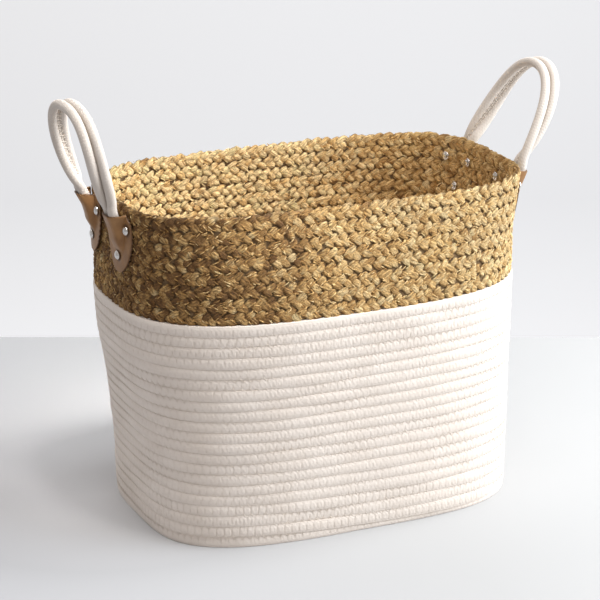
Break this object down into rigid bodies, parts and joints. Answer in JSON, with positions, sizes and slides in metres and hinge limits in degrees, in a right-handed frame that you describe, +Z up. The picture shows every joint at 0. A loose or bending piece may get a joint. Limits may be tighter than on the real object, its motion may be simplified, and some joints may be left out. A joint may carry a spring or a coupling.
{
  "type": "storage basket",
  "caption": "Rectangular two-tone storage basket: plaited seagrass band over a sewn cotton-rope body, with rope-strap handles held by riveted leather tabs.",
  "frame": {"origin": "on the floor plane, under the middle of the basket's body; the body stands on z = 0", "axes": "+Z up, X along the basket's long side from one handle to the other, Y across it"},
  "size_m": [0.4744, 0.2556, 0.3859],
  "materials": {
    "cotton_rope": "matte sewn cotton rope",
    "seagrass_plait": "matte plaited dry seagrass",
    "tan_leather": "smooth satin leather",
    "nickel": "polished nickel plate"
  },
  "bodies": {
    "root": {"cotton_base": "cotton_rope", "cotton_wall": "cotton_rope", "rivet_left_back_a": "nickel", "rivet_left_back_b": "nickel", "rivet_left_back_c": "nickel", "rivet_left_front_a": "nickel", "rivet_left_front_b": "nickel", "rivet_left_front_c": "nickel", "rivet_right_back_a": "nickel", "rivet_right_back_b": "nickel", "rivet_right_back_c": "nickel", "rivet_right_front_a": "nickel", "rivet_right_front_b": "nickel", "rivet_right_front_c": "nickel", "seagrass_band": "seagrass_plait", "strap_end_left_back": "cotton_rope", "strap_end_left_front": "cotton_rope", "strap_end_right_back": "cotton_rope", "strap_end_right_front": "cotton_rope", "tab_left_back": "tan_leather", "tab_left_front": "tan_leather", "tab_right_back": "tan_leather", "tab_right_front": "tan_leather", "washer_left_back_a": "nickel", "washer_left_back_b": "nickel", "washer_left_back_c": "nickel", "washer_left_front_a": "nickel", "washer_left_front_b": "nickel", "washer_left_front_c": "nickel", "washer_right_back_a": "nickel", "washer_right_back_b": "nickel", "washer_right_back_c": "nickel", "washer_right_front_a": "nickel", "washer_right_front_b": "nickel", "washer_right_front_c": "nickel"},
    "left_handle": {"left_handle_inner_rope": "cotton_rope", "left_handle_outer_rope": "cotton_rope"},
    "right_handle": {"right_handle_inner_rope": "cotton_rope", "right_handle_outer_rope": "cotton_rope"}
  },
  "joints": [
    {"name": "left_handle_fold", "type": "hinge", "parent": "root", "child": "left_handle", "pos_m": [-0.1999, 0.0066, 0.301], "axis": [0, -1, 0], "range_deg": [-60, 55], "stiffness_Nm_per_rad": 0.06, "springref_deg": -0.92},
    {"name": "right_handle_fold", "type": "hinge", "parent": "root", "child": "right_handle", "pos_m": [0.195, 0.0067, 0.301], "axis": [0, 1, 0], "range_deg": [-60, 50], "stiffness_Nm_per_rad": 0.06, "springref_deg": -1.83}
  ]
}
